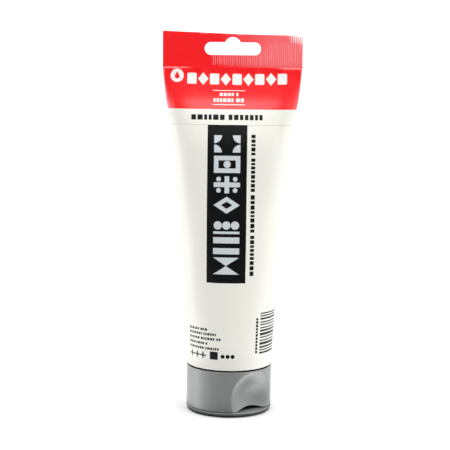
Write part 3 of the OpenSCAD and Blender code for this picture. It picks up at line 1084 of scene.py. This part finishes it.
for node, material in (
    ("tube_head", head_plastic), ("foil_seal", foil), ("paint_fill", paint_white), ("cap_liner", liner_foam),
):
    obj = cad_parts[node]
    obj.data.materials.clear()
    obj.data.materials.append(material)

# ---------------- floor, light and camera

def make_floor():
    """A pale floor, and a dark patch just under it that stands for the shade round the foot."""
    half, shade_r, shade_z, sides = 6000.0, 32.0, -0.05, 96
    corners = [(-half, -half, 0), (half, -half, 0), (half, half, 0), (-half, half, 0)]
    paper = moulded("floor_paper", (0.58, 0.58, 0.58), (0.57, 0.57, 0.57), 0.8, grain_scale=200)
    floor = new_object("floor", corners, [(0, 1, 2, 3)], [paper])
    floor.visible_glossy = False  # the light it would throw back is part of the tent
    floor.visible_diffuse = False
    angles = np.linspace(0, 2 * math.pi, sides, endpoint=False)
    rim = [(shade_r * math.cos(a), shade_r * math.sin(a), shade_z) for a in angles]
    dark = moulded("shade", (0.006, 0.006, 0.006), (0.004, 0.004, 0.004), 0.9)
    shade = new_object("floor_shade", rim, [tuple(range(sides))], [dark])
    shade.visible_camera = False


EXPOSURE = 1.03
BACKDROP = 1.2


def make_world():
    """A light tent: dim where the camera stands, bright round both sides at eye height, brightest above."""
    world = bpy.data.worlds.new("tent")
    world.use_nodes = True
    nodes, links = world.node_tree.nodes, world.node_tree.links
    nodes.clear()
    output = nodes.new("ShaderNodeOutputWorld")
    background = nodes.new("ShaderNodeBackground")
    links.new(background.outputs[0], output.inputs[0])
    place = nodes.new("ShaderNodeTexCoord").outputs["Generated"]

    def combine(kind, a, b):
        node = nodes.new("ShaderNodeMath")
        node.operation = kind
        for socket, value in zip(node.inputs, (a, b)):
            if isinstance(value, (int, float)):
                socket.default_value = value
            else:
                links.new(value, socket)
        return node.outputs[0]

    def toward(direction):
        """How nearly a view direction points the given way: 1 along it, 0 square to it."""
        node = nodes.new("ShaderNodeVectorMath")
        node.operation = "DOT_PRODUCT"
        node.inputs[1].default_value = Vector(direction).normalized()
        links.new(place, node.inputs[0])
        return node.outputs["Value"]

    def step(value, low, high, at_low, at_high):
        node = nodes.new("ShaderNodeMapRange")
        node.interpolation_type = "SMOOTHSTEP"
        for name, number in (("From Min", low), ("From Max", high), ("To Min", at_low), ("To Max", at_high)):
            node.inputs[name].default_value = number
        links.new(value, node.inputs["Value"])
        return node.outputs["Result"]

    height = toward((0, 0, 1))
    # the level band at eye height, from dim behind the camera to bright at the sides
    level = combine("MULTIPLY", step(height, -0.55, -0.35, 0, 1), step(height, 0.10, 0.45, 1, 0))
    sides = step(toward((0, -1, 0)), 0.10, 0.98, 1.60, 0.05)
    sides = combine("MULTIPLY", sides, step(toward((0, 1, 0)), 0.50, 0.95, 1.0, 0.80))
    sides = combine("MULTIPLY", sides, step(toward((1, 0, 0)), -0.7, 0.7, 1.08, 0.90))
    sides = combine("ADD", sides, step(toward((-0.99, 0.12, -0.14)), 0.960, 0.985, 0, 1.5))
    table = combine("MULTIPLY", step(height, -0.97, -0.82, 0.12, 1.0), step(height, -0.1, 0.2, 1.60, 0.12))
    # the rest, above and below it: the table's glow, the light overhead, and four soft lamps
    rest = combine("ADD", table, step(height, 0.45, 0.95, 0.0, 3.9))
    for direction, edge, full, strength in (
        ((0.67, -0.26, 0.69), 0.92, 0.97, 0.8),
        ((0.91, -0.23, 0.34), 0.90, 0.97, 1.5),
        ((0.514, -0.128, -0.848), 0.80, 0.96, 1.8),
        ((0.66, -0.57, 0.45), 0.90, 0.98, 0.9),
    ):
        rest = combine("ADD", rest, step(toward(direction), edge, full, 0, strength))
    band = combine("MULTIPLY", level, sides)
    others = combine("MULTIPLY", combine("SUBTRACT", 1.0, level), rest)
    total = combine("MULTIPLY", combine("ADD", band, others), EXPOSURE)
    # what the camera sees past the floor is plain white
    seen = nodes.new("ShaderNodeLightPath").outputs["Is Camera Ray"]
    total = combine("MAXIMUM", total, combine("MULTIPLY", seen, BACKDROP))
    links.new(total, background.inputs["Strength"])
    background.inputs["Color"].default_value = (1, 1, 1, 1)
    bpy.context.scene.world = world


def make_camera():
    """The photograph's view, solved from the widths of the cap and of the pressed end."""
    distance, height = 0.800, 0.2195
    yaw, pitch, roll = math.radians(-0.231), math.radians(8.073), math.radians(0.685)
    data = bpy.data.cameras.new("camera")
    data.sensor_width = 36.0
    data.lens = 113.97
    data.clip_start, data.clip_end = 0.01, 50.0
    camera = bpy.data.objects.new("camera", data)
    aim = Matrix.Rotation(-yaw, 4, "Z") @ Matrix.Rotation(math.pi / 2 - pitch, 4, "X")
    turn = aim @ Matrix.Rotation(roll, 4, "Z")
    camera.matrix_world = Matrix.Translation((0, -distance, height)) @ turn
    bpy.context.scene.collection.objects.link(camera)
    bpy.context.scene.camera = camera


make_floor()
make_world()
make_camera()

scene = bpy.context.scene
scene.view_settings.view_transform = "Standard"
scene.view_settings.look = "None"
